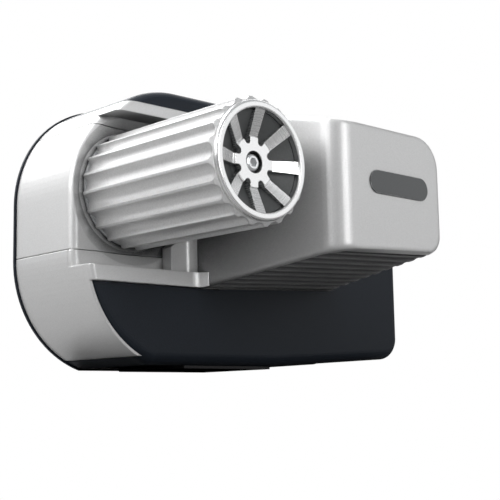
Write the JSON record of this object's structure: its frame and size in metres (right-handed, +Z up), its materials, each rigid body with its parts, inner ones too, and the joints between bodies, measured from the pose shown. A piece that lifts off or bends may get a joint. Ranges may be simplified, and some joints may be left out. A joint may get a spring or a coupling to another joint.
{
  "type": "caravan motor mover",
  "caption": "Motor mover for a caravan: a fluted roller on a sliding carriage, pressed against the tyre, with a geared motor beside it and a bracket for the chassis.",
  "frame": {"origin": "middle of the whole object in plan, on the plane that the foot pad stands on", "axes": "+X along the roller towards its free end, +Y away from the tyre, +Z up"},
  "size_m": [0.2672, 0.3224, 0.1983],
  "materials": {
    "dark_housing": "satin moulded, dark blue-black",
    "silver_cover": "satin silver coat",
    "black_grille": "moulded black",
    "plate_trim": "dark grey, blank",
    "black_rubber": "matt",
    "black_steel": "black powder coat",
    "zinc_steel": "zinc plated",
    "black_screws": "black oxide",
    "ground_steel": "ground",
    "gear_steel": "hobbed and oiled",
    "cast_alloy": "die cast",
    "roller_alloy": "blasted satin",
    "bright_cap": "polished",
    "dark_liner": "dark grey",
    "bright_screw": "bright",
    "motor_steel": "dark plated",
    "ferrite": "matt",
    "bronze": "plain"
  },
  "bodies": {
    "housing": {"back_cover": "dark_housing", "frame_plate": "zinc_steel", "lower_housing": "dark_housing", "upper_housing": "dark_housing", "upper_side_cover": "silver_cover", "lower_side_cover": "silver_cover", "motor_cover": "silver_cover", "vent_grille": "black_grille", "name_plate": "plate_trim", "foot_pad": "black_rubber", "guide_rods": "ground_steel", "rod_blocks": "zinc_steel", "engage_motor": "motor_steel", "engage_bracket": "zinc_steel", "spindle_support": "zinc_steel", "mounting_bracket": "black_steel", "tube_socket": "black_steel", "tube_clamp_screws": "zinc_steel", "bracket_bolts": "zinc_steel", "back_cover_screws": "black_screws", "cable_gland": "black_grille"},
    "carriage": {"carriage_cover": "silver_cover", "carrier_block": "cast_alloy", "gear_case": "cast_alloy", "gear_lid": "cast_alloy", "lid_screws": "zinc_steel", "bearing_housing": "cast_alloy", "roller_bearings": "ground_steel", "motor_can": "motor_steel", "motor_front_bell": "cast_alloy", "motor_end_bell": "cast_alloy", "motor_magnets": "ferrite", "guide_bushes": "bronze", "spindle_nut": "bronze"},
    "roller": {"roller_sleeve": "roller_alloy", "root_flange": "cast_alloy", "roller_shaft": "ground_steel", "output_gear": "gear_steel", "end_cap": "bright_cap", "cap_liner": "dark_liner", "cap_screw": "bright_screw"},
    "second_gear": {"second_gear": "gear_steel"},
    "first_gear": {"first_gear": "gear_steel"},
    "rotor": {"motor_armature": "motor_steel", "motor_pinion": "gear_steel"},
    "spindle": {"spindle": "ground_steel"}
  },
  "joints": [
    {"name": "carriage_slide", "type": "slide", "parent": "housing", "child": "carriage", "axis": [0, -1, 0], "range_m": [0, 0.03]},
    {"name": "roller_spin", "type": "hinge", "parent": "carriage", "child": "roller", "pos_m": [0, -0.109, 0.123], "axis": [1, 0, 0], "continuous": true},
    {"name": "second_gear_spin", "type": "hinge", "parent": "carriage", "child": "second_gear", "pos_m": [0, -0.054, 0.123], "axis": [1, 0, 0], "continuous": true},
    {"name": "first_gear_spin", "type": "hinge", "parent": "carriage", "child": "first_gear", "pos_m": [0, -0.0146, 0.09222], "axis": [1, 0, 0], "continuous": true},
    {"name": "rotor_spin", "type": "hinge", "parent": "carriage", "child": "rotor", "pos_m": [0, 0.02226, 0.11803], "axis": [1, 0, 0], "continuous": true},
    {"name": "spindle_spin", "type": "hinge", "parent": "housing", "child": "spindle", "pos_m": [-0.0183, 0, 0.034], "axis": [0, 1, 0], "range_deg": [0, 2700]}
  ],
  "couplings": [
    {"joint": "second_gear_spin", "follows": "roller_spin", "ratio": -2.1429},
    {"joint": "first_gear_spin", "follows": "roller_spin", "ratio": 5.5102},
    {"joint": "rotor_spin", "follows": "roller_spin", "ratio": -22.041},
    {"joint": "spindle_spin", "follows": "carriage_slide", "rad_per_m": 1570.8}
  ]
}
